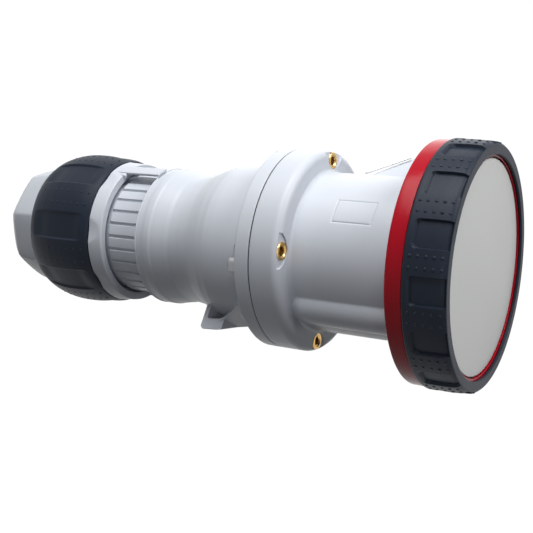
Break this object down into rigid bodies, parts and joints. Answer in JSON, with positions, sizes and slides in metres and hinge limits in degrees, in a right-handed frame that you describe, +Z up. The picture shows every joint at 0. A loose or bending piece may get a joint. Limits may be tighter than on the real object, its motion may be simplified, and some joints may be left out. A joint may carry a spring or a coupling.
{
  "type": "portable industrial socket connector",
  "caption": "Heavy-duty in-line power connector, socket side: flanged grey housing, hinged cover with a gripped locking ring, lifting ear and cable gland nut.",
  "frame": {"origin": "on the connector's axis, at the outer face of the closed cover", "axes": "+X along the axis, out of the cover's face; -X towards the cable gland; +Z up, with the hanging ear below"},
  "size_m": [0.3183, 0.14, 0.14],
  "materials": {
    "housing_grey": "satin moulded plastic",
    "cover_grey": "satin moulded plastic",
    "ring_red": "smooth moulded plastic",
    "grip_dark": "soft-touch moulding",
    "seal_black": "matt",
    "brass": "machined",
    "steel": "machined",
    "carrier_dark": "moulded plastic"
  },
  "bodies": {
    "housing": {"front_housing": "housing_grey", "rear_housing": "housing_grey", "flange_gasket": "seal_black", "threaded_insert_1": "brass", "threaded_insert_2": "brass", "threaded_insert_3": "brass", "threaded_insert_4": "brass", "flange_screw_1": "steel", "flange_screw_2": "steel", "flange_screw_3": "steel", "flange_screw_4": "steel", "contact_carrier": "carrier_dark", "contact_earth": "brass", "contact_l1": "brass", "contact_l2": "brass", "contact_l3": "brass", "contact_n": "brass", "contact_pilot": "brass", "clamp_screw_earth": "steel", "clamp_screw_l1": "steel", "clamp_screw_l2": "steel", "clamp_screw_l3": "steel", "clamp_screw_n": "steel", "clamp_screw_pilot": "steel", "hinge_pin": "steel", "gland_seal": "seal_black"},
    "cover": {"cover": "cover_grey", "cover_seal": "seal_black"},
    "ring": {"locking_ring": "ring_red", "ring_grip": "grip_dark"},
    "thrust": {"thrust_ring": "housing_grey"},
    "nut": {"gland_nut": "housing_grey", "nut_grip": "grip_dark"}
  },
  "joints": [
    {"name": "cover_swing", "type": "hinge", "parent": "housing", "child": "cover", "pos_m": [-0.0345, 0.05298, 0.02817], "axis": [0, -0.4695, 0.8829], "range_deg": [0, 110]},
    {"name": "ring_turn", "type": "hinge", "parent": "cover", "child": "ring", "pos_m": [0, 0, 0], "axis": [1, 0, 0], "range_deg": [0, 24]},
    {"name": "nut_travel", "type": "slide", "parent": "housing", "child": "thrust", "axis": [-1, 0, 0], "range_m": [0, 0.0182]},
    {"name": "nut_turn", "type": "hinge", "parent": "thrust", "child": "nut", "pos_m": [-0.2298, 0, 0], "axis": [-1, 0, 0], "range_deg": [0, 1080]}
  ],
  "couplings": [
    {"joint": "nut_travel", "follows": "nut_turn", "m_per_rad": 0.00095493}
  ]
}
